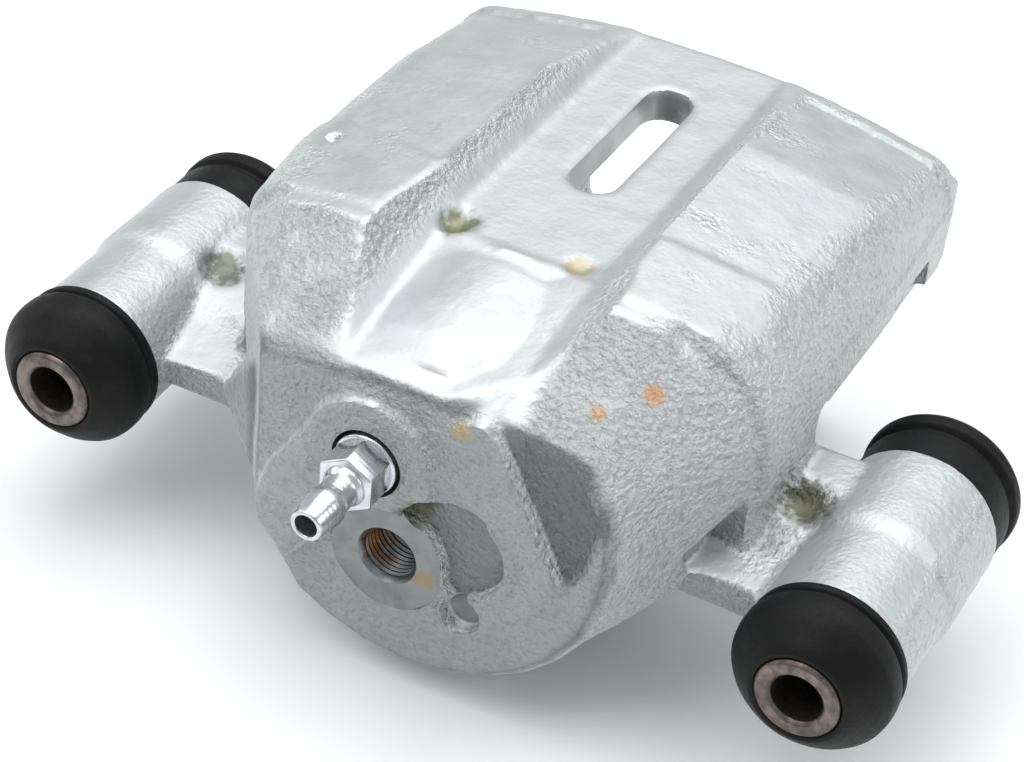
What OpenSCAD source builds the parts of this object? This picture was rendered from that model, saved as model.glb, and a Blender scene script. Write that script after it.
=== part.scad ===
// Floating single-piston brake caliper with its guide collars, bushes and boots.
// Millimetres. X runs across the two guide collars, +Y from the closed end of the
// cylinder towards the fingers (outboard), +Z up. The origin is under the middle of
// the whole assembly, on the surface it rests on.

/* [Cylinder and piston] */
// piston diameter
piston_d = 47.9; // [40:0.1:60]
// radial running clearance of the piston in the cylinder
piston_gap = 0.05; // [0.02:0.01:0.1]
// height of the piston axis above the collar axes
bore_z = 1.5; // [-5:0.5:10]
// distance from the closed end to the bottom of the cylinder
bore_floor_y = 14; // [9:0.5:20]
// distance from the closed end to the open end of the cylinder
barrel_len = 45; // [40:0.5:50]
// outer radius of the cylinder barrel
barrel_r = 33; // [30:0.5:36]
// outer radius of the flange at the open end
flange_r = 36; // [33:0.5:40]

/* [Closed end] */
// radius of the closed end
end_r = 35.5; // [30:0.5:40]
// height of the closed end's centre above the collar axes
end_z = 8.5; // [0:0.5:12]
// fluid port thread hole radius
port_r = 4.5; // [3:0.05:6]
// spotface radius around the fluid port
spot_r = 9.6; // [8:0.1:12]
// boss radius around the bleed screw
bleed_boss_r = 11.2; // [9:0.1:13]

/* [Bridge and fingers] */
// radius of the wheel clearance envelope over the wings
envelope_r = 167.5; // [150:0.5:180]
// radius of the tunnel roof over the brake disc
disc_tunnel_r = 105.2; // [95:0.1:125]
// height of the tunnel roof above the collar axes
disc_tunnel_z = 29; // [27:0.5:31]
// half width of the bridge
bridge_half = 48.8; // [40:0.1:55]
// inner face of the fingers
finger_in_y = 94; // [85:0.5:100]
// outer face of the fingers
finger_out_y = 106.5; // [100:0.5:112]
// width of the inspection window
window_w = 8.4; // [5:0.1:20]

/* [Guides] */
// distance between the two guide collars
pin_spacing = 133; // [110:0.5:150]
// outer radius of a guide ear
ear_r = 13.5; // [11:0.1:16]
// bore radius of a guide ear
ear_bore_r = 10; // [8:0.1:12]
// collar outer radius
collar_r = 7; // [5:0.05:9]
// collar bore radius
collar_bore_r = 4.15; // [3:0.05:6]
// collar length
collar_len = 66.5; // [50:0.5:80]
// radial running clearance of the collar in its bush and boots
collar_gap = 0.05; // [0.02:0.01:0.1]

/* [Bleed screw] */
// hexagon size across its flats
hex_af = 9; // [7:0.5:11]
// thread radius
bleed_thread_r = 4; // [3:0.1:5]
// distance from the closed end to the nipple's tip
bleed_tip = 20; // [15:0.5:25]

/* [Hidden] */
$fn = 72;
eps = 0.05;
slice = 0.4;
wheel_z = -125;
rest_z = -30;
bore_r = piston_d / 2 + piston_gap;
pin_x = pin_spacing / 2;
ear_front = 12.5;
ear_rear = 49.4;
wing_front = 23.2;
seal_y = 37;
seal_w = 3.6;
seal_out_r = bore_r + 3;
mouth_y = 41.5;
mouth_r = bore_r + 5;
port_x = -2.5;
port_z = -4.3;
bleed_x = -6.5;
bleed_z = 13.5;
bleed_seat_y = 9.5;
front_round = 19;
front_left = 45.4;
left_round = 9.5;
channel_z = 36;
port_rise = 0.6;
flange_y = 31;
lip_r = collar_r + collar_gap;
spigot_r = ear_bore_r - eps;

// moves a piece from the collar plane to the resting frame
module place() {
    translate([0, (bleed_tip - finger_out_y) / 2, -rest_z]) children();
}

// a plate of an X-Z outline between two distances along Y
module slab(y0, y1) {
    translate([0, y1, 0]) rotate([90, 0, 0]) linear_extrude(height = y1 - y0) children();
}

// a prism of a Y-Z outline between two distances along X
module prism(x0, x1) {
    translate([x0, 0, 0]) rotate([90, 0, 90]) linear_extrude(height = x1 - x0) children();
}

// a round bar along Y
module bar(x, z, r, y0, y1) {
    translate([x, y0, z]) rotate([-90, 0, 0]) cylinder(r = r, h = y1 - y0);
}

// a turned ring about Y from a radius-height profile
module turned(x, z, profile) {
    translate([x, 0, z]) rotate([-90, 0, 0]) rotate_extrude() polygon(profile);
}

// outline of the closed end, drawn in by a margin: a flat arc over a round bottom, with a
// straight left side
module end_outline(margin) {
    crown_r = 154 - margin;
    half = 29 - margin * 0.7;
    left = margin - 29;
    steps = 4;
    polygon([for (i = [-steps : steps]) [half * i / steps, arc_z(crown_r, half * i / steps)],
             for (t = [20 : -12 : -124]) [(end_r - margin) * cos(t), end_z + (end_r - margin) * sin(t)],
             [left + 3.5, end_z - 21],
             [left, end_z - 14]]);
}

// height of an arc about the wheel axis
function arc_z(r, x) = wheel_z + sqrt(r * r - x * x);

// outline of the wings: an arc about the wheel axis with a rounded shoulder at each side,
// and a margin that draws its sides in; drop lowers its top
module wing_outline(top_r, half_right, round_right, half_left, round_left, margin, drop) {
    flat_right = half_right - round_right;
    flat_left = half_left - round_left;
    right_z = arc_z(top_r, flat_right) - round_right;
    left_z = arc_z(top_r, flat_left) - round_left;
    foot_z = 12 + margin;
    steps = 4;
    polygon([for (i = [-steps : -1]) [flat_left * i / steps, arc_z(top_r - drop, flat_left * i / steps)],
             for (i = [0 : steps]) [flat_right * i / steps, arc_z(top_r - drop, flat_right * i / steps)],
             for (t = [72 : -14 : 2]) [flat_right + (round_right - margin) * cos(t),
                                       right_z + (round_right - margin) * sin(t)],
             [half_right - margin, foot_z],
             [margin - half_left, foot_z],
             for (t = [2 : 14 : 72]) [-flat_left - (round_left - margin) * cos(t),
                                      left_z + (round_left - margin) * sin(t)]]);
}

// closed end flaring up into the wings, and out into the webs
module crown() {
    edge = 2.5;
    flare_y = 21;
    inset = 2.2;
    cheek_y = 13.8;
    cheek = [[-42.6, 3.2], [42.2, 3.2], [39.6, -3], [-39.8, -3]];
    hull() {
        slab(0, slice) end_outline(edge);
        slab(edge, edge + slice) end_outline(0);
        slab(flare_y, wing_front + 3)
            wing_outline(envelope_r - 0.5, bridge_half, front_round, front_left, left_round, inset, 0);
    }
    hull() {
        slab(slice * 2, slice * 3) end_outline(edge * 1.2);
        slab(edge * 1.4, edge * 1.4 + slice) end_outline(slice);
        slab(cheek_y, cheek_y + slice) polygon(cheek);
    }
}

// sides of the bridge carried down to the webs
module skirt() {
    side_gap = 1.4;
    outline = [[wing_front - 1, 2], [wing_front - 1, 14], [45.2, 14], [45.2, 3]];
    prism(side_gap - front_left, bridge_half - side_gap) polygon(outline);
}

// wings and bridge over the disc
module bridge() {
    edge = 1.5;
    left_y = 42;
    mid_y = 74;
    rear_r = 161.4;
    rear_half = 47.8;
    rear_edge = 3;
    mid_round = 11.5;
    rear_round = 7;
    hull() {
        slab(wing_front, wing_front + slice)
            wing_outline(envelope_r, bridge_half, front_round, front_left, left_round, edge, edge);
        slab(wing_front + edge, wing_front + edge + slice)
            wing_outline(envelope_r, bridge_half, front_round, front_left, left_round, 0, 0);
        slab(left_y, left_y + slice)
            wing_outline(envelope_r, bridge_half, mid_round + 4, bridge_half, mid_round, 0, 0);
        slab(mid_y, mid_y + slice)
            wing_outline(envelope_r, bridge_half, mid_round, bridge_half, mid_round, 0, 0);
        slab(finger_out_y - rear_edge, finger_out_y - rear_edge + slice)
            wing_outline(rear_r + 1, rear_half, rear_round, rear_half, rear_round, 0, 0);
        slab(finger_out_y - slice, finger_out_y)
            wing_outline(rear_r, rear_half, rear_round, rear_half, rear_round, 2, 2);
    }
}

// barrel with its open-end flange
module barrel() {
    profile = [[0, 3], [barrel_r - 9, 3], [barrel_r - 4.5, 6], [barrel_r - 2, 10], [barrel_r - 0.5, 16],
               [barrel_r + 0.4, 24], [barrel_r + 0.9, flange_y - 1.5], [flange_r, flange_y],
               [flange_r, barrel_len], [0, barrel_len]];
    turned(0, bore_z, profile);
}

// two fingers that reach down over the outer pad
module fingers() {
    tip_x = 22;
    tip_r = 9;
    tip_z = rest_z + tip_r;
    root_z = 28;
    root_x = 47.3;
    flank = [[root_x, 20], [root_x - 0.8, 14], [root_x - 3.5, 5], [root_x - 8.7, -9.5]];
    for (side = [-1, 1])
        slab(finger_in_y, finger_out_y - 0.3)
            polygon([[0, root_z], [side * root_x, root_z], for (p = flank) [side * p[0], p[1]],
                     for (t = [-10 : -17 : -180]) [side * (tip_x + tip_r * cos(t)), tip_z + tip_r * sin(t)],
                     [side * (tip_x - tip_r), 12], [0, 12]]);
}

// round gap between the fingers
module finger_gap() {
    gap_r = 21;
    gap_z = 6;
    bar(0, gap_z, gap_r, finger_in_y - 1, finger_out_y + 1);
}

// guide ears, with a step in diameter halfway
module ears() {
    step_y = 31;
    step = 0.8;
    profile = [[0, ear_front], [ear_r - step, ear_front], [ear_r - step, step_y - 2], [ear_r, step_y],
               [ear_r, ear_rear], [0, ear_rear]];
    for (side = [-1, 1]) turned(side * pin_x, 0, profile);
}

// webs that carry the ears
module webs() {
    front_y = 14;
    rear_y = 48;
    top_z = 10.5;
    bottom_z = -8;
    web = [[front_y, -1.5], [front_y + 0.5, 3.2], [front_y + 10, 5.5], [front_y + 22, top_z],
           [rear_y - 2, top_z], [rear_y, top_z - 2.5], [rear_y, bottom_z], [front_y + 10, bottom_z + 1]];
    prism(-pin_x, pin_x) polygon(web);
}

// section of the channel cast along the top: a floor between two sloping sides, which eases up
// towards its right side
module channel_section(easing) {
    floor_half = 14;
    lip_half = 20.5;
    lip_z = 43;
    over = 20;
    ease_x = 4;
    polygon([[-floor_half, channel_z], [ease_x, channel_z], [floor_half, channel_z + easing],
             [lip_half, lip_z], [lip_half, lip_z + over], [-lip_half, lip_z + over], [-lip_half, lip_z]]);
}

// channel over the bridge, and its front part sloping down to the closed end
module channel() {
    step_y = 33;
    fall = 12;
    lap = 1.5;
    slab(step_y, finger_out_y + 1) channel_section(0.05);
    translate([0, step_y + lap, channel_z - 0.8]) rotate([fall, 0, 0]) translate([0, 0, -channel_z])
        slab(-step_y * 1.4, 9) channel_section(2.6);
}

// window through the bridge for looking at the pads
module window() {
    front_y = 54;
    rear_y = 90;
    low_z = 15;
    deep = 40;
    r = window_w / 2;
    for (y = [front_y + r, rear_y - r]) translate([0, y, low_z]) cylinder(r = r, h = deep);
    translate([-r, front_y + r, low_z]) cube([window_w, rear_y - front_y - window_w, deep]);
}

// raised parts of the closed end: the bleed boss with its pad, the port boss and the rough face
module end_bosses() {
    boss_rise = 2.4;
    face_rise = 0.9;
    root_y = 8;
    pad = [[-16.4, 17.6], [-24.8, 4.2], [-26.6, -3.4], [-26, -7], [-20.4, -12.6], [-15.4, -5], [-10.4, -0.6],
           [-6, 4]];
    face = [[-4, 20], [11.4, 28], [14.9, 24.3], [20.8, 14.1], [27, 1.8], [22.3, -5.2], [15.9, -11.7],
            [9, -15.2], [2, -13]];
    bar(bleed_x, bleed_z, bleed_boss_r, -boss_rise, root_y);
    slab(-boss_rise + 0.3, root_y - 2) polygon(pad);
    slab(-face_rise, root_y - 3) polygon(face);
    bar(port_x, port_z, spot_r, -port_rise, root_y - 1);
}

// shallow cast recesses on the closed end, clear of the port and bleed bosses
module end_recesses() {
    depth = 1.6;
    rim = 0.4;
    out = -3;
    deep = 8;
    panel = [[12, 34], [27.6, 34], [28.2, 24], [32.2, 16.5], [30.4, 7], [27.2, 2.2], [21, 14.4],
             [15.1, 24.6]];
    // each hollow: x, z, radius and its share of the panel's depth
    hollows = [[9.5, 2, 8.7, 0.9], [10.8, -10.6, 3.4, 1.6], [1.5, 6.3, 4.2, 0.4]];
    slab(out, depth) polygon(panel);
    difference() {
        for (h = hollows) bar(h[0], h[1], h[2], out, depth * h[3]);
        bar(port_x, port_z, spot_r + rim, out - 1, deep);
        bar(bleed_x, bleed_z, bleed_boss_r - rim * 3, out - 1, deep);
    }
    bar(port_x, port_z, spot_r, out, -port_rise);
}

// fluid port: countersink and thread hole
module port_cut() {
    mouth = port_r + 0.8;
    turned(port_x, port_z, [[0, -2], [mouth, -2], [mouth, -0.5], [port_r, 0.3],
                            [port_r, bore_floor_y + 1], [0, bore_floor_y + 1]]);
}

// bleed screw hole: pocket, thread hole, seat and passage
module bleed_cut() {
    pocket_r = 5.9;
    pocket_y = 3;
    hole_r = bleed_thread_r + eps;
    passage_r = 1.2;
    turned(bleed_x, bleed_z, [[0, -4], [pocket_r, -4], [pocket_r, pocket_y], [hole_r, pocket_y],
                              [hole_r, bleed_seat_y], [passage_r, bleed_seat_y + hole_r - passage_r],
                              [passage_r, bore_floor_y + 1], [0, bore_floor_y + 1]]);
}

// cylinder bore with its seal groove and boot mouth
module bore_cut() {
    chamfer = 0.6;
    turned(0, bore_z, [[0, bore_floor_y], [bore_r, bore_floor_y], [bore_r, seal_y], [seal_out_r, seal_y],
                       [seal_out_r, seal_y + seal_w], [bore_r, seal_y + seal_w], [bore_r, mouth_y - chamfer],
                       [bore_r + chamfer, mouth_y], [mouth_r, mouth_y], [mouth_r, ear_rear + 1],
                       [0, ear_rear + 1]]);
}

// level foot under the barrel
module foot_cut() {
    half = 40;
    deep = 20;
    translate([-half, -1, rest_z - deep]) cube([2 * half, ear_rear + 2, deep]);
}

module housing() {
    color([0.79, 0.81, 0.82]) place() difference() {
        union() {
            difference() {
                union() {
                    crown();
                    bridge();
                    skirt();
                }
                channel();
                window();
                bar(0, disc_tunnel_z - disc_tunnel_r, disc_tunnel_r, barrel_len + 0.6, finger_in_y + 0.3);
            }
            barrel();
            fingers();
            ears();
            webs();
            end_bosses();
        }
        slab(flange_y - 0.6, ear_rear) channel_section(0.05);
        end_recesses();
        bore_cut();
        port_cut();
        bleed_cut();
        finger_gap();
        foot_cut();
        for (side = [-1, 1]) bar(side * pin_x, 0, ear_bore_r, ear_front - 1, ear_rear + 1);
    }
}

module piston() {
    r = piston_d / 2;
    rear_y = 15;
    face_y = 50;
    wall = 5.5;
    cup_floor_y = 22;
    groove_y = 46;
    profile = [[0, rear_y], [r - 1.5, rear_y], [r, rear_y + 1.5], [r, groove_y], [r - 1.4, groove_y + 0.4],
               [r - 1.4, groove_y + 1.8], [r, groove_y + 2.2], [r, face_y - 0.5], [r - 0.5, face_y],
               [r - wall + 0.5, face_y], [r - wall, face_y - 0.5], [r - wall, cup_floor_y + 3],
               [r - wall - 3, cup_floor_y], [0, cup_floor_y]];
    color([0.75, 0.74, 0.7]) place() turned(0, bore_z, profile);
}

module piston_seal() {
    outside = seal_out_r - eps;
    front = seal_y + eps;
    rear = seal_y + seal_w - eps;
    profile = [[bore_r, front], [outside, front], [outside, rear], [bore_r, rear]];
    color([0.09, 0.09, 0.1]) place() turned(0, bore_z, profile);
}

module piston_boot() {
    lip = bore_r;
    rim = mouth_r - eps;
    profile = [[rim, mouth_y + eps], [rim, mouth_y + 1.6], [lip + 3.2, mouth_y + 1.6],
               [lip + 3.4, mouth_y + 4], [lip + 2.6, mouth_y + 5.6], [lip + 1.4, mouth_y + 5.9],
               [lip, mouth_y + 5.6], [lip, mouth_y + 4.1], [lip + 1.2, mouth_y + 4.3],
               [lip + 1.7, mouth_y + 3.6], [lip + 1.5, mouth_y + eps]];
    color([0.1, 0.1, 0.11]) place() turned(0, bore_z, profile);
}

module boot_set_ring() {
    wire_r = 0.7;
    ring_y = mouth_y + 1.6 + wire_r + eps;
    ring_r = mouth_r - wire_r - eps;
    color([0.55, 0.55, 0.56]) place() translate([0, ring_y, bore_z]) rotate([-90, 0, 0])
        rotate_extrude() translate([ring_r, 0]) circle(r = wire_r, $fn = 24);
}

module bleed_screw() {
    passage_r = 1.9;
    tip_r = 2.6;
    bulb_r = 3.4;
    neck_r = 2.9;
    shank_r = 3.8;
    base_r = 5.4;
    drill_r = 0.9;
    hex_r = hex_af / sqrt(3);
    hex_y = -8.6;
    base_front = -2.8;
    base_rear = 1.4;
    seat_y = bleed_seat_y + 2.2;
    profile = [[passage_r, -bleed_tip], [tip_r, -bleed_tip], [tip_r + 0.3, -bleed_tip + 1.3], [bulb_r, -15],
               [bulb_r, -14], [neck_r, -12.6], [neck_r, hex_y - 1], [shank_r, hex_y],
               [shank_r, base_front], [base_r - 0.3, base_front], [base_r, base_front + 0.3],
               [base_r, base_rear - 0.5], [bleed_thread_r, base_rear],
               [bleed_thread_r, bleed_seat_y - 0.4], [drill_r + 0.5, seat_y], [drill_r, seat_y],
               [drill_r, seat_y - 5], [passage_r, seat_y - 6]];
    color([0.83, 0.84, 0.85]) place() {
        turned(bleed_x, bleed_z, profile);
        difference() {
            translate([bleed_x, hex_y, bleed_z]) rotate([-90, 0, 0])
                cylinder(r = hex_r, h = base_front - hex_y + 0.2, $fn = 6);
            bar(bleed_x, bleed_z, passage_r + 0.7, hex_y - 1, 0);
        }
    }
}

module collar(side) {
    rim = 0.6;
    profile = [[collar_bore_r, rim], [collar_bore_r + rim, 0], [collar_r - rim, 0], [collar_r, rim],
               [collar_r, collar_len - rim], [collar_r - rim, collar_len], [collar_bore_r + rim, collar_len],
               [collar_bore_r, collar_len - rim]];
    color([0.42, 0.39, 0.37]) place() turned(side * pin_x, 0, profile);
}

module bush(side) {
    ridge_count = 5;
    ridge_w = 2.4;
    start_y = 16;
    end_y = 46;
    pitch = (end_y - start_y - ridge_w) / (ridge_count - 1);
    color([0.12, 0.12, 0.12]) place() {
        turned(side * pin_x, 0, [[lip_r + 0.7, start_y], [spigot_r, start_y], [spigot_r, end_y],
                                 [lip_r + 0.7, end_y]]);
        for (i = [0 : ridge_count - 1])
            turned(side * pin_x, 0, [[lip_r, start_y + i * pitch], [lip_r + 1, start_y + i * pitch],
                                     [lip_r + 1, start_y + i * pitch + ridge_w],
                                     [lip_r, start_y + i * pitch + ridge_w]]);
    }
}

module boot_inboard(side) {
    profile = [[lip_r, 0.7], [8, 0.5], [12.4, 5], [13.3, 6.2], [13.35, 9.6], [12.5, 10.3], [12.5, 10.8],
               [13.1, 11.2], [13.1, ear_front], [spigot_r, ear_front], [spigot_r, ear_front + 3],
               [8.3, ear_front + 3], [8.3, 12], [11, 9.8], [11.2, 7], [8.8, 3.6], [lip_r, 2.5]];
    color([0.11, 0.11, 0.12]) place() turned(side * pin_x, 0, profile);
}

module boot_outboard(side) {
    tail = collar_len;
    profile = [[spigot_r, ear_rear], [13, ear_rear], [13.1, 56.2], [12.3, 57], [12.3, 57.7], [13.6, 58.5],
               [13.6, 60.3], [12.6, 61.4], [8, tail - 0.5], [lip_r, tail - 0.7], [lip_r, tail - 2.5],
               [8.8, tail - 3.6], [11.3, 60], [11.2, 52], [8.3, ear_rear + 1], [8.3, ear_rear - 3],
               [spigot_r, ear_rear - 3]];
    color([0.11, 0.11, 0.12]) place() turned(side * pin_x, 0, profile);
}

housing();
piston();
piston_seal();
piston_boot();
boot_set_ring();
bleed_screw();
collar(-1);  // collar_left
collar(1);  // collar_right
bush(-1);  // bush_left
bush(1);  // bush_right
boot_inboard(-1);  // boot_left_inboard
boot_outboard(-1);  // boot_left_outboard
boot_inboard(1);  // boot_right_inboard
boot_outboard(1);  // boot_right_outboard
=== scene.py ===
"""Brake caliper: the looks of every piece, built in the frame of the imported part."""

import math

import bmesh
import bpy
import numpy as np
from mathutils import Matrix, Vector, noise

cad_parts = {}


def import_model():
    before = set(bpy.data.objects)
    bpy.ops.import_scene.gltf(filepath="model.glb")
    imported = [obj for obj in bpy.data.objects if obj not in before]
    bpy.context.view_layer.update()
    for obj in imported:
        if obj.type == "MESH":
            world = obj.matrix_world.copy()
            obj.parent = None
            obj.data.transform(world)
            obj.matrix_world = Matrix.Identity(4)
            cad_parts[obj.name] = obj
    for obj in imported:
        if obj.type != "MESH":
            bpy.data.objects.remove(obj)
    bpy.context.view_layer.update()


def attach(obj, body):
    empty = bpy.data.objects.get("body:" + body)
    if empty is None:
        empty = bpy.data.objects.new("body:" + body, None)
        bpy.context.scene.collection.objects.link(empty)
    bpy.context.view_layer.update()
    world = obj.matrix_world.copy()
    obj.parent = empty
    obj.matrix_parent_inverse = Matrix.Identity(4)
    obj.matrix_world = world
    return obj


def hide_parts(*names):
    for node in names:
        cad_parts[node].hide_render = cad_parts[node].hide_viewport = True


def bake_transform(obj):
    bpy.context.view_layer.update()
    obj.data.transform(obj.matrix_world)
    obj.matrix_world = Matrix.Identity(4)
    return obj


bl_info = {
    "name": "Brake caliper",
    "version": (1, 0, 0),
    "blender": (4, 5, 0),
    "location": "View3D > Sidebar > Caliper",
    "description": "Builds the pieces of a floating brake caliper, their materials and a plain stage",
    "category": "Object",
}

MM = 0.001
# the row frame's origin seen from the middle of the closed end, on the collar plane
OFFSET = Vector((0.0, -43.25, 30.0))

# sizes shared with the solid part, in millimetres
PIN_X = 66.5
BORE_Z = 1.5
BORE_R = 24.0
SEAL_R = 27.0
MOUTH_R = 29.0
SEAL_Y = 37.0
SEAL_W = 3.6
MOUTH_Y = 41.5
FLOOR_Y = 14.0
EAR_FRONT = 12.5
EAR_REAR = 49.4
EAR_BORE_R = 10.0
PORT = (-2.5, -4.3)
PORT_R = 4.5
SPOT_R = 9.6
SPOT_Y = -0.6
BLEED = (-6.5, 13.5)
BLEED_TIP = 20.0
HEX_AF = 9.0
COLLAR_LEN = 66.5
COLLAR_R = 7.0
COLLAR_BORE = 4.15
SIDES = {"left": -1, "right": 1}


def row(x, y, z):
    """A point given in millimetres from the closed end, in row-frame metres."""
    return (Vector((x, y, z)) + OFFSET) * MM


# ---------------------------------------------------------------- settings


class CaliperSettings(bpy.types.PropertyGroup):
    """Sizes of the finish, which the solid part doesn't hold."""

    voxel: bpy.props.FloatProperty(
        name="Casting voxel", description="Mesh size of the rough casting",
        default=0.00084, min=0.0006, max=0.003, unit="LENGTH")
    fillet_passes: bpy.props.IntProperty(
        name="Fillet passes", description="Smoothing passes that round the cast edges",
        default=3, min=0, max=40)
    unevenness: bpy.props.FloatProperty(
        name="Unevenness", description="Depth of the slow waves of a sand-cast skin",
        default=0.00022, min=0.0, max=0.001, unit="LENGTH")
    grain: bpy.props.FloatProperty(
        name="Grain", description="Size of the sand grain on rough cast faces",
        default=0.0009, min=0.0003, max=0.003, unit="LENGTH")
    segments: bpy.props.IntProperty(
        name="Turned segments", description="Segments around a turned piece",
        default=112, min=24, max=256)


def settings():
    return bpy.context.scene.caliper


# ---------------------------------------------------------------- materials


def linear(code):
    """An sRGB hex colour as linear RGBA."""
    parts = [int(code[i:i + 2], 16) / 255 for i in (1, 3, 5)]
    return tuple(c / 12.92 if c <= 0.04045 else ((c + 0.055) / 1.055) ** 2.4 for c in parts) + (1.0,)


class Tree:
    """A material's node tree with one function that adds and joins a node."""

    def __init__(self, name):
        self.material = bpy.data.materials.new(name)
        self.material.use_nodes = True
        self.tree = self.material.node_tree
        self.shader = self.tree.nodes["Principled BSDF"]
        self.coords = self.add("ShaderNodeTexCoord").outputs["Object"]

    def add(self, kind, inputs=None, **props):
        made = self.tree.nodes.new(kind)
        for key, value in props.items():
            setattr(made, key, value)
        for key, value in (inputs or {}).items():
            if isinstance(value, bpy.types.NodeSocket):
                self.tree.links.new(value, made.inputs[key])
            else:
                made.inputs[key].default_value = value
        return made

    def math(self, operation, a, b=0.0, clamp=False):
        return self.add("ShaderNodeMath", {0: a, 1: b}, operation=operation, use_clamp=clamp).outputs[0]

    def noise(self, size, detail=2.0, roughness=0.5, coords=None):
        """Noise whose features are about size metres across."""
        return self.add("ShaderNodeTexNoise", {
            "Vector": coords or self.coords, "Scale": 1.0 / size,
            "Detail": detail, "Roughness": roughness}).outputs["Fac"]

    def ramp(self, value, low, high, out_low=0.0, out_high=1.0, smooth=True):
        return self.add("ShaderNodeMapRange", {
            "Value": value, "From Min": low, "From Max": high, "To Min": out_low, "To Max": out_high},
            interpolation_type="SMOOTHSTEP" if smooth else "LINEAR").outputs["Result"]

    def mix(self, factor, a, b, blend="MIX"):
        made = self.add("ShaderNodeMix", data_type="RGBA", blend_type=blend)
        for socket, value in ((made.inputs[0], factor), (made.inputs[6], a), (made.inputs[7], b)):
            if isinstance(value, bpy.types.NodeSocket):
                self.tree.links.new(value, socket)
            else:
                socket.default_value = value
        return made.outputs[2]

    def near(self, point, radius, ragged=0.35):
        """1 at a point in millimetres, fading to 0 at radius millimetres with a ragged edge."""
        gap = self.add("ShaderNodeVectorMath", {0: self.coords, 1: row(*point)}, operation="DISTANCE")
        wobble = self.math("MULTIPLY", self.math("SUBTRACT", self.noise(0.0016, 3.0, 0.6), 0.5),
                           radius * MM * ragged * 4.0)
        return self.ramp(self.math("ADD", gap.outputs["Value"], wobble), radius * MM, radius * MM * 0.45)

    def rings(self, size, distortion):
        """Rings about the Y axis, size metres apart, as a turning tool leaves them."""
        along = self.add("ShaderNodeSeparateXYZ", {0: self.coords}).outputs["Y"]
        vector = self.add("ShaderNodeCombineXYZ", {1: along}).outputs[0]
        return self.add("ShaderNodeTexWave", {
            "Vector": vector, "Scale": 1.0 / size, "Distortion": distortion},
            bands_direction="Y").outputs["Fac"]

    def set(self, **values):
        for key, value in values.items():
            socket = self.shader.inputs[key.replace("_", " ")]
            if isinstance(value, bpy.types.NodeSocket):
                self.tree.links.new(value, socket)
            else:
                socket.default_value = value

    def bump(self, height, distance, strength=1.0, under=None):
        inputs = {"Height": height, "Distance": distance, "Strength": strength}
        if under is not None:
            inputs["Normal"] = under
        return self.add("ShaderNodeBump", inputs).outputs["Normal"]


def cast_zinc():
    """Sand-cast iron, bright zinc plated."""
    # bright silver with sparkling sand grain on the flanks and a calmer skin on the top
    t = Tree("zinc_plated_sand_cast_iron")
    grain = settings().grain
    split = t.add("ShaderNodeSeparateXYZ", {0: t.add("ShaderNodeTexCoord").outputs["Normal"]})
    place = t.add("ShaderNodeSeparateXYZ", {0: t.coords})
    patches = t.math("MULTIPLY", t.math("SUBTRACT", t.noise(0.012, 3.0), 0.5), 0.5)
    up = t.math("ADD", split.outputs["Z"], patches)
    flank = t.ramp(up, 0.97, 0.78)
    inner = t.ramp(t.math("ABSOLUTE", place.outputs["X"]), 0.058, 0.050)
    # the ears are smooth on top and grainy only low on their flanks
    ear_flank = t.ramp(up, 0.62, 0.2, 0.1, 0.85)
    shoulder = t.math("ADD", t.math("MULTIPLY", flank, inner),
                      t.math("MULTIPLY", ear_flank, t.math("SUBTRACT", 1.0, inner)))
    strip = t.math("MULTIPLY", t.ramp(place.outputs["X"], 0.0745, 0.0765),
                   t.ramp(place.outputs["Z"], 0.028, 0.031))
    # the channel behind the closed end's top edge has a smooth floor
    channel = t.math("MULTIPLY", t.ramp(place.outputs["Y"], -0.0425, -0.0410),
                     t.ramp(t.math("ABSOLUTE", place.outputs["X"]), 0.019, 0.015))
    shoulder = t.math("MULTIPLY", shoulder, t.math("SUBTRACT", 1.0, channel))
    rough = t.math("MAXIMUM", shoulder, strip, clamp=True)
    fine = t.noise(grain, 3.0, 0.62)
    pebble = t.add("ShaderNodeTexVoronoi", {"Vector": t.coords, "Scale": 1.0 / (grain * 1.25)},
                   feature="SMOOTH_F1").outputs["Distance"]
    sand = t.math("ADD", fine, t.math("MULTIPLY", pebble, -0.55))
    calm = t.noise(0.0035, 4.0, 0.62)
    soft = t.bump(calm, 0.00035, 0.35)
    t.set(Normal=t.bump(sand, 0.0016, t.ramp(rough, 0.0, 1.0, 0.05, 1.0, smooth=False), under=soft))
    tint = t.noise(0.022, 2.0)
    base = t.mix(t.ramp(tint, 0.42, 0.62), linear("#cbcdcf"), linear("#c8cdcc"))
    # painted shade: faces of the closed end turned to the front are darker than the top, and its hollows
    # get more painted shade still
    # painted shade on faces turned to the front, picked by their normal
    front = t.ramp(split.outputs["Y"], -0.62, -0.80)
    base = t.mix(t.math("MULTIPLY", front, 0.4), base, linear("#85878a"))
    # painted shade in the hollows of the closed end's face, near the end only
    hollow = t.math("MULTIPLY", front, t.ramp(place.outputs["Y"], -0.0432, -0.0422))
    near_end = t.ramp(place.outputs["Y"], -0.036, -0.039)
    base = t.mix(t.math("MULTIPLY", t.math("MULTIPLY", hollow, near_end), 0.6), base, linear("#5f6163"))
    base = t.mix(t.math("MULTIPLY", t.ramp(sand, 0.30, 0.02), t.math("MULTIPLY", rough, 0.2)),
                 base, linear("#5c5e60"))
    # brown and olive stains where pickling liquid stayed in the hollows, and spots of rust
    for point, radius, code, amount, ragged in STAINS:
        base = t.mix(t.math("MULTIPLY", t.near(point, radius, ragged), amount), base, linear(code))
    wear = t.noise(0.006, 4.0, 0.6)
    t.set(Base_Color=base, Metallic=0.86, Roughness=t.ramp(wear, 0.3, 0.7, 0.44, 0.58, smooth=False))
    return t.material


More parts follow.
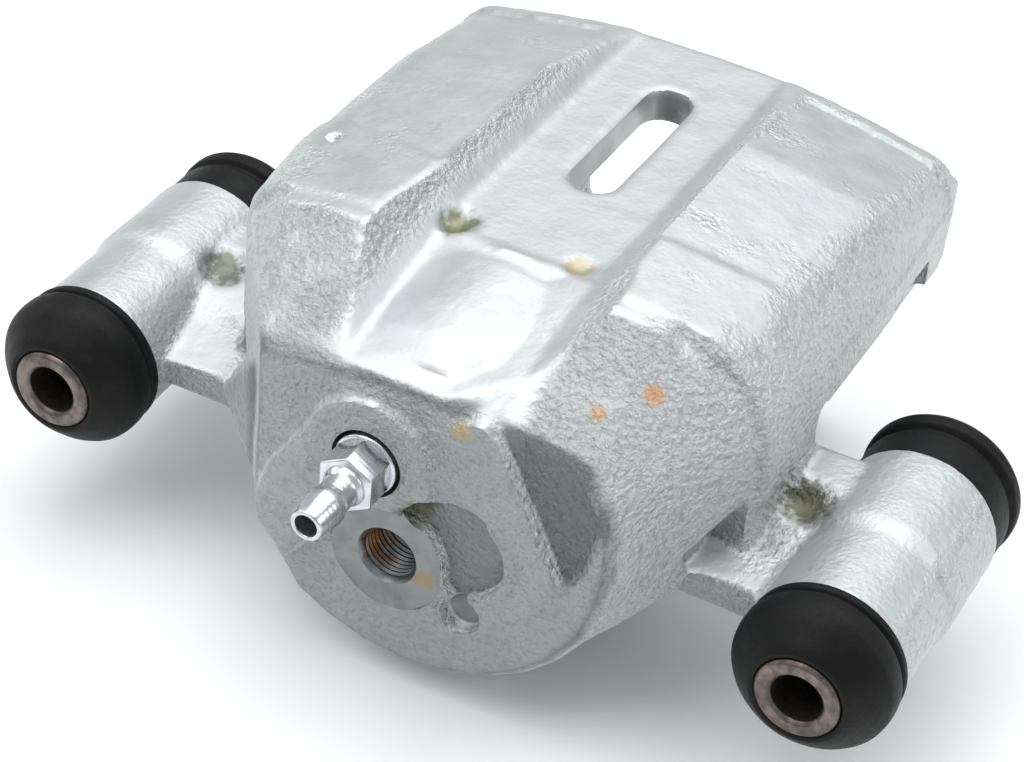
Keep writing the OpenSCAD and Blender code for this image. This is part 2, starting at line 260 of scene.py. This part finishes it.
# centre in mm, radius in mm, colour, strength, raggedness of the edge
STAINS = [
    ((25.7, 8.8, 30.2), 2.0, "#d8b68e", 0.85, 0.25),
    ((32.0, 14.9, 32.6), 2.2, "#dcac80", 0.9, 0.25),
    ((8.3, -0.7, 25.3), 2.2, "#cdb45a", 0.5, 0.2),
    ((-12.1, 34.8, 34.4), 4.2, "#75744a", 0.8, 0.3),
    ((9.2, 34.0, 35.4), 3.2, "#b6a468", 0.6, 0.3),
    ((-55.0, 34.6, 9.9), 5.0, "#5f5f48", 0.75, 0.3),
    ((52.6, 33.4, 8.9), 5.4, "#5a5738", 0.85, 0.3),
    ((1.0, 0.7, 7.2), 4.2, "#5a5638", 0.8, 0.25),
]


def machined_zinc():
    """Bored and faced iron, zinc plated."""
    # fine turning rings under a grey plated skin, with a brown bloom in the fluid port
    t = Tree("zinc_plated_machined_iron")
    rings = t.rings(0.006, 0.4)
    base = t.mix(t.ramp(t.noise(0.005, 3.0), 0.4, 0.7), linear("#8b8d8e"), linear("#7b7e7f"))
    base = t.mix(t.math("MULTIPLY", t.near((-6.0, 4.0, -4.6), 5.2), 0.9), base, linear("#6e4618"))
    base = t.mix(t.math("MULTIPLY", t.near((2.2, 6.0, -2.6), 4.6), 0.8), base, linear("#2a241a"))
    base = t.mix(t.math("MULTIPLY", t.near((3.6, -0.6, -5.6), 2.6), 0.5), base, linear("#9a8348"))
    t.set(Base_Color=base, Metallic=0.9, Roughness=0.36, Normal=t.bump(rings, 0.00004, 0.5))
    return t.material


def bright_steel():
    """Turned steel, bright zinc plated."""
    # a clean white shine with faint lathe marks along the screw
    t = Tree("zinc_plated_turned_steel")
    rings = t.rings(0.003, 0.6)
    base = t.mix(t.ramp(t.noise(0.003, 3.0), 0.35, 0.7), linear("#d9dcde"), linear("#c3c7ca"))
    sheen = t.ramp(t.noise(0.002, 2.0), 0.3, 0.7, 0.2, 0.32, smooth=False)
    t.set(Base_Color=base, Metallic=0.95, Roughness=sheen, Normal=t.bump(rings, 0.00002, 0.5))
    return t.material


def dark_steel():
    """Turned steel collar, dark and oily."""
    # brown-grey steel that shines at its worn rim
    t = Tree("oily_turned_steel")
    blotch = t.noise(0.0022, 4.0, 0.6)
    base = t.mix(t.ramp(blotch, 0.35, 0.65), linear("#5b5350"), linear("#7d746f"))
    t.set(Base_Color=base, Metallic=0.92, Roughness=t.ramp(blotch, 0.3, 0.7, 0.44, 0.3, smooth=False),
          Normal=t.bump(t.noise(0.0006, 3.0), 0.00004, 0.6))
    return t.material


def chrome_steel():
    """Ground steel, hard chrome plated."""
    # a smooth bright barrel with the faintest grinding haze
    t = Tree("ground_hard_chrome")
    haze = t.noise(0.002, 3.0)
    t.set(Base_Color=linear("#c9c9c6"), Metallic=1.0,
          Roughness=t.ramp(haze, 0.3, 0.7, 0.14, 0.22, smooth=False))
    return t.material


def wire_steel():
    """Drawn spring wire."""
    # plain grey wire with a soft sheen
    t = Tree("drawn_spring_wire")
    base = t.mix(t.noise(0.001, 2.0), linear("#8d8d8c"), linear("#a5a5a3"))
    t.set(Base_Color=base, Metallic=1.0, Roughness=0.34)
    return t.material


def rubber(name, code, shine, dust):
    """Moulded rubber."""
    # near-black satin skin with a breath of grey dust and tiny mould pores
    t = Tree(name)
    base = t.mix(t.math("MULTIPLY", t.ramp(t.noise(0.004, 5.0, 0.65), 0.5, 0.8), dust),
                 linear(code), linear("#6a6a6c"))
    pores = t.noise(0.0007, 3.0, 0.6)
    t.set(Base_Color=base, Specular_IOR_Level=0.22,
          Roughness=t.ramp(pores, 0.3, 0.7, shine, shine + 0.14, smooth=False),
          Normal=t.bump(pores, 0.00006, 0.6, under=t.bump(t.noise(0.004, 3.0), 0.0002, 0.25)))
    return t.material


# ---------------------------------------------------------------- geometry


def rounded(profile, radius, steps=4):
    """A closed profile with each corner off the axis rounded by an arc-like curve."""
    points = [Vector((r, y)) for r, y in profile]
    out = []
    for i, here in enumerate(points):
        before = points[i - 1] - here
        after = points[(i + 1) % len(points)] - here
        cut = min(radius, before.length * 0.42, after.length * 0.42)
        if here.x < 1e-6 or cut < 1e-4:
            out.append(here)
            continue
        start = here + before.normalized() * cut
        end = here + after.normalized() * cut
        for k in range(steps + 1):
            f = k / steps
            out.append(start * (1 - f) ** 2 + here * 2 * f * (1 - f) + end * f ** 2)
    return out


def spin_mesh(name, x, z, profile, radius=0.0, segments=None):
    """A solid of revolution about the Y axis through (x, z), from (radius, y) points in mm."""
    points = rounded(profile, radius) if radius else [Vector(p) for p in profile]
    bm = bmesh.new()
    closed = min(p.x for p in points) > 1e-6
    verts = [bm.verts.new(row(x + p.x, p.y, z)) for p in points]
    pairs = list(zip(verts, verts[1:])) + ([(verts[-1], verts[0])] if closed else [])
    edges = [bm.edges.new(pair) for pair in pairs]
    bmesh.ops.spin(bm, geom=verts + edges, cent=row(x, 0, z), axis=(0, 1, 0), angle=2 * math.pi,
                   steps=segments or settings().segments, use_merge=True, use_duplicate=False)
    bmesh.ops.remove_doubles(bm, verts=bm.verts, dist=1e-7)
    bmesh.ops.recalc_face_normals(bm, faces=bm.faces)
    mesh = bpy.data.meshes.new(name)
    bm.to_mesh(mesh)
    bm.free()
    return mesh


def shade(mesh, angle=38.0):
    """Smooth shading with edges sharper than angle degrees kept crisp."""
    bm = bmesh.new()
    bm.from_mesh(mesh)
    limit = math.radians(angle)
    for face in bm.faces:
        face.smooth = True
    for edge in bm.edges:
        edge.smooth = len(edge.link_faces) != 2 or edge.calc_face_angle(0.0) < limit
    bm.to_mesh(mesh)
    bm.free()


def link(name, mesh, *materials):
    made = bpy.data.objects.new(name, mesh)
    bpy.context.scene.collection.objects.link(made)
    for material in materials:
        mesh.materials.append(material)
    return made


def apply_modifiers(obj):
    """Replaces an object's mesh by its evaluated mesh."""
    graph = bpy.context.evaluated_depsgraph_get()
    graph.update()
    mesh = bpy.data.meshes.new_from_object(obj.evaluated_get(graph))
    obj.modifiers.clear()
    obj.data = mesh
    return mesh


def finish_piece(obj, body, node):
    """Puts a piece on its body in place of its solid node."""
    if not obj.data.polygons:
        raise RuntimeError(f"{obj.name} came out empty")
    if body:
        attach(obj, body)
    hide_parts(node)


def turned_piece(name, node, body, material, x, z, profile, radius, segments=None):
    obj = link(name, spin_mesh(name, x, z, profile, radius, segments), material)
    shade(obj.data)
    finish_piece(obj, body, node)
    return obj


# ---------------------------------------------------------------- housing


def joined(name, meshes):
    """One object that holds several closed meshes."""
    bm = bmesh.new()
    for mesh in meshes:
        bm.from_mesh(mesh)
    out = bpy.data.meshes.new(name)
    bm.to_mesh(out)
    bm.free()
    return link(name, out)


def fill_profiles():
    """Plugs that close the machined holes while the casting is rounded."""
    bore = [(0, 12.6), (26, 12.6), (26, 36.4), (28.4, 36.4), (28.4, 41), (30.6, 41),
            (30.6, 44.9), (0, 44.9)]
    ear = [(0, 11.2), (12.7, 11.2), (12.7, 20), (11.4, 21), (11.4, 44), (13.5, 45),
           (13.5, 50.7), (0, 50.7)]
    yield 0, BORE_Z, bore
    yield PORT[0], PORT[1], [(0, -1.3), (9.8, -1.3), (9.8, 6), (6.4, 7), (6.4, 15.5), (0, 15.5)]
    yield BLEED[0], BLEED[1], [(0, -2.4), (7.2, -2.4), (7.2, 15.5), (0, 15.5)]
    for side in SIDES.values():
        yield side * PIN_X, 0, ear


def cut_profiles():
    """Machined holes and faces: bore with groove and mouth, ears, port and bleed screw hole."""
    yield 0, BORE_Z, [(0, FLOOR_Y), (BORE_R - 1, FLOOR_Y), (BORE_R, FLOOR_Y + 1), (BORE_R, SEAL_Y),
                      (SEAL_R, SEAL_Y), (SEAL_R, SEAL_Y + SEAL_W), (BORE_R, SEAL_Y + SEAL_W),
                      (BORE_R, MOUTH_Y - 0.6), (BORE_R + 0.6, MOUTH_Y), (MOUTH_R, MOUTH_Y),
                      (MOUTH_R, 44.2), (MOUTH_R + 0.6, 45.2), (MOUTH_R + 0.6, 52), (0, 52)]
    face = [(0, -4), (SPOT_R + 0.5, -4), (SPOT_R + 0.5, SPOT_Y), (PORT_R + 0.8, SPOT_Y), (PORT_R, 0.35)]
    yield PORT[0], PORT[1], face + thread(PORT_R, 0.5, 11.5, 1.0, 0.42) + [(PORT_R, 12), (0, 12)]
    yield BLEED[0], BLEED[1], [(0, -4), (6.5, -4), (5.9, -1.6), (5.9, 3), (4.05, 3), (4.05, 9.5),
                               (1.2, 12.2), (0, 12.2)]
    for side in SIDES.values():
        yield side * PIN_X, 0, [(0, 6), (15.5, 6), (15.5, EAR_FRONT), (EAR_BORE_R + 0.6, EAR_FRONT),
                                (EAR_BORE_R, EAR_FRONT + 0.6), (EAR_BORE_R, EAR_REAR - 0.6),
                                (EAR_BORE_R + 0.6, EAR_REAR), (15.5, EAR_REAR), (15.5, 56), (0, 56)]


def thread(radius, start, end, pitch, depth):
    """Sawtooth grooves of a thread, cut outwards from its core radius."""
    out = []
    y = start
    while y + pitch <= end:
        out += [(radius, y + pitch * 0.12), (radius + depth, y + pitch * 0.5), (radius, y + pitch * 0.88)]
        y += pitch
    return out


# small forms of the casting: centre in mm, radius, height (below 0 a hollow)
DIMPLES = [
    ((-17.4, -2.6, 9.1), 2.3, 1.4),
    ((-12.0, 34.8, 34.4), 4.4, -1.5),
    ((9.6, 34.0, 35.4), 3.4, -1.0),
    ((-54.8, 34.6, 9.9), 5.0, -1.7),
    ((52.6, 33.4, 8.8), 5.4, -1.8),
    ((-39.2, 40.8, 37.9), 1.7, -1.5),
    ((-40.3, 32.3, 37.6), 1.4, -0.8),
    ((1.0, 0.4, 6.6), 4.4, -1.2),
]


def crescent(x, z, y):
    """Raised rim along the right side of the round hollow in the closed end."""
    centre_x, centre_z, rim_r, rim_w = 9.5, 2.0, 9.2, 0.7
    gap = np.hypot(x - centre_x, z - centre_z) - rim_r
    turn = np.degrees(np.arctan2(z - centre_z, x - centre_x))
    ends = np.clip((62 - np.abs(turn)) / 12, 0, 1)
    return ends * np.exp(-(gap / rim_w) ** 2) * (y < 2)


def crowned(x, z, y):
    """Swell of the barrel's top through the channel's sloping front part."""
    rise, half_width = 1.1, 14
    along = np.clip((y - 0.5) / 5, 0, 1) * np.clip((33 - y) / 6, 0, 1)
    return rise * np.clip(1 - (x / half_width) ** 2, 0, 1) * along * (z > 26)


def cast_form(co, normals):
    """Moves the points of the casting: slow waves, dimples, nubs and the faint steps of the mould."""
    geo = co / MM - np.array(OFFSET)
    lift = np.zeros(len(co))
    amount = settings().unevenness / MM
    for i, point in enumerate(geo):
        v = Vector(point)
        slow = 0.5 + 0.5 * noise.noise(v * 0.16)
        quick = 0.5 + 0.5 * noise.noise(v * 0.5)
        lift[i] -= amount * slow + amount * 0.4 * quick
    for centre, radius, height in DIMPLES:
        gap = np.linalg.norm(geo - np.array(centre), axis=1) / radius
        lift += height * np.clip(1 - gap ** 2, 0, 1) ** 1.5
    x, y, z = geo.T
    wing = (z > 24) & (np.abs(x) > 19) & (y > 24) & (y < 100)
    # the mould's parting step runs slantwise over each wing
    line = np.where(x < 0, 41.0 + 0.28 * (-x - 20), 41.5 + 0.1 * (x - 17))
    step, crispness = 0.45, 4.5
    lift -= wing * step / (1 + np.exp(-(y - line) * crispness))
    lift += crescent(x, z, y) + crowned(x, z, y)
    return co + normals * (lift * MM)[:, None]


def build_casting(material, machined):
    """The cast housing: rounded as a casting is, then bored and faced crisply."""
    conf = settings()
    solid = bpy.data.objects["housing"].data.copy()
    bm = bmesh.new()
    bm.from_mesh(solid)
    bmesh.ops.remove_doubles(bm, verts=bm.verts, dist=2e-6)
    bm.to_mesh(solid)
    bm.free()
    plugs = [spin_mesh("plug", x, z, profile, segments=72) for x, z, profile in fill_profiles()]
    solid.materials.clear()
    body = joined("housing_casting", [solid] + plugs)
    remesh = body.modifiers.new("voxels", "REMESH")
    remesh.mode = "VOXEL"
    remesh.voxel_size = conf.voxel
    smooth = body.modifiers.new("fillets", "SMOOTH")
    smooth.factor = 0.5
    smooth.iterations = conf.fillet_passes
    mesh = apply_modifiers(body)
    count = len(mesh.vertices)
    co = np.empty(count * 3)
    normals = np.empty(count * 3, np.float32)
    mesh.vertices.foreach_get("co", co)
    mesh.vertex_normals.foreach_get("vector", normals)
    co = cast_form(co.reshape(-1, 3), normals.reshape(-1, 3))
    mesh.vertices.foreach_set("co", co.astype(np.float32).ravel())
    mesh.update()
    cuts = [spin_mesh("cut", x, z, profile, segments=96) for x, z, profile in cut_profiles()]
    cutter = joined("cutter", cuts)
    boolean = body.modifiers.new("machining", "BOOLEAN")
    boolean.operation = "DIFFERENCE"
    boolean.solver = "MANIFOLD"
    boolean.object = cutter
    mesh = apply_modifiers(body)
    bpy.data.objects.remove(cutter)
    mesh.materials.clear()
    mesh.materials.append(material)
    mesh.materials.append(machined)
    shade(mesh, 42.0)
    mark_machined(mesh)
    return body


def mark_machined(mesh):
    """Gives the faces cut by the boring tools the machined finish."""
    centres = np.empty(len(mesh.polygons) * 3)
    mesh.polygons.foreach_get("center", centres)
    x, y, z = (centres.reshape(-1, 3) / MM - np.array(OFFSET)).T
    bore = np.hypot(x, z - BORE_Z)
    marks = (bore < MOUTH_R + 0.7) & (y > FLOOR_Y - 0.3) & (y < 46)
    port = np.hypot(x - PORT[0], z - PORT[1])
    marks |= (port < SPOT_R + 0.6) & (np.abs(y - SPOT_Y) < 0.02)
    marks |= (port < PORT_R + 1) & (y > SPOT_Y + 0.01) & (y < 13)
    bleed = np.hypot(x - BLEED[0], z - BLEED[1])
    marks |= (bleed < 6.6) & (y > -2.2) & (y < 13) & ((bleed < 5.95) | (y < -1.55))
    for side in SIDES.values():
        ear = np.hypot(x - side * PIN_X, z)
        marks |= (ear < EAR_BORE_R + 0.7) & (y > EAR_FRONT - 0.05) & (y < EAR_REAR + 0.05)
        marks |= (ear < 15) & ((np.abs(y - EAR_FRONT) < 0.02) | (np.abs(y - EAR_REAR) < 0.02))
    mesh.polygons.foreach_set("material_index", marks.astype(np.int32))


# ---------------------------------------------------------------- operators


class CALIPER_OT_housing(bpy.types.Operator):
    """Builds the cast housing with its machined holes"""

    bl_idname = "caliper.housing"
    bl_label = "Housing"

    def execute(self, context):
        body = build_casting(cast_zinc(), machined_zinc())
        finish_piece(body, "housing", "housing")
        return {"FINISHED"}


class CALIPER_OT_piston(bpy.types.Operator):
    """Builds the hollow piston"""

    bl_idname = "caliper.piston"
    bl_label = "Piston"

    def execute(self, context):
        r = 23.95
        profile = [(0, 15), (r - 1.5, 15), (r, 16.5), (r, 46), (r - 1.4, 46.4), (r - 1.4, 47.8),
                   (r, 48.2), (r, 49.5), (r - 0.5, 50), (r - 5, 50), (r - 5.5, 49.5), (r - 5.5, 25),
                   (r - 8.5, 22), (0, 22)]
        turned_piece("piston_cup", "piston", "piston", chrome_steel(),
                     0, BORE_Z, profile, 0.25)
        return {"FINISHED"}


class CALIPER_OT_seal(bpy.types.Operator):
    """Builds the piston's seal ring"""

    bl_idname = "caliper.seal"
    bl_label = "Piston seal"

    def execute(self, context):
        profile = [(BORE_R, SEAL_Y + 0.05), (SEAL_R - 0.05, SEAL_Y + 0.05),
                   (SEAL_R - 0.05, SEAL_Y + SEAL_W - 0.05), (BORE_R, SEAL_Y + SEAL_W - 0.05)]
        turned_piece("piston_seal_ring", "piston_seal", "housing",
                     rubber("nitrile_seal_rubber", "#1a1a1c", 0.4, 0.1), 0, BORE_Z, profile, 0.3)
        return {"FINISHED"}


class CALIPER_OT_piston_boot(bpy.types.Operator):
    """Builds the piston's dust boot and its set ring"""

    bl_idname = "caliper.piston_boot"
    bl_label = "Piston boot"

    def execute(self, context):
        lip, rim, y = BORE_R, MOUTH_R - 0.05, MOUTH_Y
        profile = [(rim, y + 0.05), (rim, y + 1.6), (lip + 3.2, y + 1.6), (lip + 3.4, y + 4),
                   (lip + 2.6, y + 5.6), (lip + 1.4, y + 5.9), (lip, y + 5.6), (lip, y + 4.1),
                   (lip + 1.2, y + 4.3), (lip + 1.7, y + 3.6), (lip + 1.5, y + 0.05)]
        turned_piece("piston_dust_boot", "piston_boot", None,
                     rubber("moulded_boot_rubber", "#1b1c1e", 0.42, 0.2), 0, BORE_Z, profile, 0.5)
        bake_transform(bpy.data.objects["piston_dust_boot"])
        wire, centre_r, centre_y = 0.7, MOUTH_R - 0.75, y + 2.35
        circle = [(centre_r + wire * math.cos(a), centre_y + wire * math.sin(a))
                  for a in (2 * math.pi * k / 20 for k in range(20))]
        turned_piece("boot_wire_ring", "boot_set_ring", "housing", wire_steel(),
                     0, BORE_Z, circle, 0)
        return {"FINISHED"}


class CALIPER_OT_collars(bpy.types.Operator):
    """Builds the two guide collars"""

    bl_idname = "caliper.collars"
    bl_label = "Guide collars"

    def execute(self, context):
        steel = dark_steel()
        rim = 0.6
        profile = [(COLLAR_BORE, rim), (COLLAR_BORE + rim, 0), (COLLAR_R - rim, 0), (COLLAR_R, rim),
                   (COLLAR_R, COLLAR_LEN - rim), (COLLAR_R - rim, COLLAR_LEN),
                   (COLLAR_BORE + rim, COLLAR_LEN), (COLLAR_BORE, COLLAR_LEN - rim)]
        for name, side in SIDES.items():
            turned_piece(f"guide_collar_{name}", f"collar_{name}", f"collar_{name}",
                         steel, side * PIN_X, 0, profile, 0.25)
        return {"FINISHED"}


class CALIPER_OT_bushes(bpy.types.Operator):
    """Builds the ribbed rubber bushes inside the ears"""

    bl_idname = "caliper.bushes"
    bl_label = "Guide bushes"

    def execute(self, context):
        material = rubber("ribbed_bush_rubber", "#1d1d1e", 0.5, 0.1)
        out, low, high, ridge = EAR_BORE_R - 0.05, COLLAR_R + 0.75, COLLAR_R + 0.05, 2.4
        pitch = (30 - ridge) / 4
        inner = []
        for i in range(5):
            y = 16 + i * pitch
            inner += [(low, y), (high, y + 0.2), (high, y + ridge - 0.2), (low, y + ridge)]
        profile = inner + [(out, 46), (out, 16)]
        profile[0] = (high + 0.1, 16.0)
        for name, side in SIDES.items():
            turned_piece(f"guide_bush_{name}", f"bush_{name}", "housing",
                         material, side * PIN_X, 0, profile, 0.15)
        return {"FINISHED"}


class CALIPER_OT_boots(bpy.types.Operator):
    """Builds the four dust boots of the guides"""

    bl_idname = "caliper.boots"
    bl_label = "Guide boots"

    def execute(self, context):
        material = rubber("satin_dust_boot_rubber", "#070708", 0.46, 0.05)
        lip, spigot, tail = COLLAR_R + 0.05, EAR_BORE_R - 0.05, COLLAR_LEN
        front = [(lip, 0.7), (7.9, 0.45), (9.4, 1.6), (12.0, 4.3), (13.1, 6.0), (13.35, 7.6), (13.3, 9.6),
                 (12.35, 10.1), (12.35, 10.7), (13.05, 11.1), (13.05, EAR_FRONT - 0.05),
                 (spigot, EAR_FRONT - 0.05), (spigot, EAR_FRONT + 3), (8.3, EAR_FRONT + 3), (8.3, 12),
                 (11, 9.8), (11.2, 7), (8.8, 3.6), (lip, 2.5)]
        rear = [(spigot, EAR_REAR + 0.05), (13.0, EAR_REAR + 0.05), (13.1, 56.2), (12.2, 56.8),
                (12.2, 57.6), (13.5, 58.3), (13.55, 60.3), (12.6, 61.8), (9.6, tail - 2.0),
                (8, tail - 0.5), (lip, tail - 0.7), (lip, tail - 2.5), (8.8, tail - 3.6), (11.3, 60),
                (11.2, 52), (8.3, EAR_REAR + 1), (8.3, EAR_REAR - 3), (spigot, EAR_REAR - 3)]
        ends = (("inboard", front, 11.0, 2.4), ("outboard", rear, 52.0, tail - 2.4))
        for name, side in SIDES.items():
            for end, profile, start, stop in ends:
                made = turned_piece(f"dust_boot_{name}_{end}", f"boot_{name}_{end}", None,
                                    material, side * PIN_X, 0, profile, 0.55)
                row(side * PIN_X, start, 0)
                row(side * PIN_X, stop, 0)
                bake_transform(made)
        return {"FINISHED"}


class CALIPER_OT_bleed_screw(bpy.types.Operator):
    """Builds the bleed screw: nipple, hexagon and threaded end"""

    bl_idname = "caliper.bleed_screw"
    bl_label = "Bleed screw"

    def execute(self, context):
        x, z = BLEED
        profile = [(1.9, -BLEED_TIP), (2.6, -BLEED_TIP), (2.85, -18.8), (3.4, -15.0), (3.35, -14.0),
                   (2.9, -12.6), (2.9, -9.9), (3.6, -8.9), (3.8, -2.8), (5.1, -2.8), (5.4, -2.5),
                   (5.4, 0.9), (4.0, 1.4), (4.0, 9.1), (1.4, 11.7), (0.9, 11.7), (0.9, 6.7), (1.9, 5.7)]
        stem = spin_mesh("stem", x, z, profile, 0.35, 96)
        corner = HEX_AF / 2 / math.cos(math.pi / 6) * MM
        bm = bmesh.new()
        result = bmesh.ops.create_cone(bm, cap_ends=True, segments=6, radius1=corner,
                                       radius2=corner, depth=5.9 * MM)
        turn = Matrix.Translation(row(x, -5.65, z)) @ Matrix.Rotation(math.radians(-90), 4, "X")
        bmesh.ops.transform(bm, matrix=turn, verts=result["verts"])
        bmesh.ops.bevel(bm, geom=list(bm.edges), offset=0.32 * MM, offset_type="OFFSET", segments=3,
                        profile=0.5, affect="EDGES", material=-1)
        bmesh.ops.recalc_face_normals(bm, faces=bm.faces)
        bm.from_mesh(stem)
        mesh = bpy.data.meshes.new("bleed_screw_body")
        bm.to_mesh(mesh)
        bm.free()
        shade(mesh, 30.0)
        finish_piece(link("bleed_screw_body", mesh, bright_steel()), "bleed_screw", "bleed_screw")
        return {"FINISHED"}


class CALIPER_OT_stage(bpy.types.Operator):
    """Builds the floor, the lights and the camera"""

    bl_idname = "caliper.stage"
    bl_label = "Stage"

    def execute(self, context):
        bm = bmesh.new()
        bmesh.ops.create_grid(bm, x_segments=1, y_segments=1, size=6.0)
        mesh = bpy.data.meshes.new("floor")
        bm.to_mesh(mesh)
        bm.free()
        t = Tree("pale_floor")
        # a plain matt sheet, near white
        t.set(Base_Color=linear("#fbfbfb"), Roughness=0.9)
        t.shader.inputs["Specular IOR Level"].default_value = 0.1
        floor = link("floor", mesh, t.material)
        world = bpy.data.worlds.new("studio")
        world.use_nodes = True
        world.node_tree.nodes["Background"].inputs["Color"].default_value = (0.94, 0.97, 1.0, 1.0)
        world.node_tree.nodes["Background"].inputs["Strength"].default_value = 0.52
        context.scene.world = world
        context.scene.view_settings.view_transform = "Standard"
        self.light("top", (0.05, 0.35, 1.2), (0, 0, 0), 1.4, 11.5)
        self.light("crown", (-0.4, -0.5, 1.05), (0, 0, 0), 0.8, 5.0)
        self.light("left", (-1.0, 0.0, 0.55), (0, 0, 0.03), 0.5, 1.6)
        self.light("right", (1.0, 0.25, 0.5), (0, 0, 0.03), 0.45, 2.0)
        self.camera(context.scene)
        return {"FINISHED"}

    @staticmethod
    def light(name, place, target, size, power):
        lamp = bpy.data.lights.new(name, "AREA")
        lamp.shape = "SQUARE"
        lamp.size = size
        lamp.energy = power
        obj = bpy.data.objects.new(name, lamp)
        obj.location = place
        aim = Vector(target) - Vector(place)
        obj.rotation_euler = aim.to_track_quat("-Z", "Y").to_euler()
        bpy.context.scene.collection.objects.link(obj)

    @staticmethod
    def camera(scene):
        azimuth, elevation, roll = (math.radians(v) for v in (24.288, 37.021, -6.07))
        back = Vector((math.sin(azimuth) * math.cos(elevation), -math.cos(azimuth) * math.cos(elevation),
                       math.sin(elevation)))
        right = Vector((math.cos(azimuth), math.sin(azimuth), 0))
        up = back.cross(right)
        turned_right = right * math.cos(roll) - up * math.sin(roll)
        turned_up = right * math.sin(roll) + up * math.cos(roll)
        matrix = Matrix.Identity(4)
        for i in range(3):
            matrix[i][0], matrix[i][1], matrix[i][2] = turned_right[i], turned_up[i], back[i]
        matrix.translation = Vector((0.15488, -0.35232, 0.32321))
        data = bpy.data.cameras.new("camera")
        data.lens = 102.43
        data.sensor_width = 36.0
        data.sensor_fit = "HORIZONTAL"
        data.clip_start = 0.01
        camera = bpy.data.objects.new("camera", data)
        camera.matrix_world = matrix
        scene.collection.objects.link(camera)
        scene.camera = camera


class CALIPER_PT_panel(bpy.types.Panel):
    """Lists the pieces of the caliper"""

    bl_idname = "CALIPER_PT_panel"
    bl_label = "Brake caliper"
    bl_space_type = "VIEW_3D"
    bl_region_type = "UI"
    bl_category = "Caliper"

    def draw(self, context):
        for name in ("voxel", "fillet_passes", "unevenness", "grain", "segments"):
            self.layout.prop(context.scene.caliper, name)
        for operator in OPERATORS:
            self.layout.operator(operator.bl_idname)


OPERATORS = (CALIPER_OT_housing, CALIPER_OT_piston, CALIPER_OT_seal, CALIPER_OT_piston_boot,
             CALIPER_OT_collars, CALIPER_OT_bushes, CALIPER_OT_boots, CALIPER_OT_bleed_screw,
             CALIPER_OT_stage)
CLASSES = (CaliperSettings,) + OPERATORS + (CALIPER_PT_panel,)


def register():
    for cls in CLASSES:
        bpy.utils.register_class(cls)
    bpy.types.Scene.caliper = bpy.props.PointerProperty(type=CaliperSettings)


def unregister():
    del bpy.types.Scene.caliper
    for cls in reversed(CLASSES):
        bpy.utils.unregister_class(cls)


def main():
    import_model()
    register()
    for operator in OPERATORS:
        group, name = operator.bl_idname.split(".")
        if "FINISHED" not in getattr(getattr(bpy.ops, group), name)():
            raise RuntimeError(f"{operator.bl_label} wasn't built")


if __name__ == "__main__":
    main()
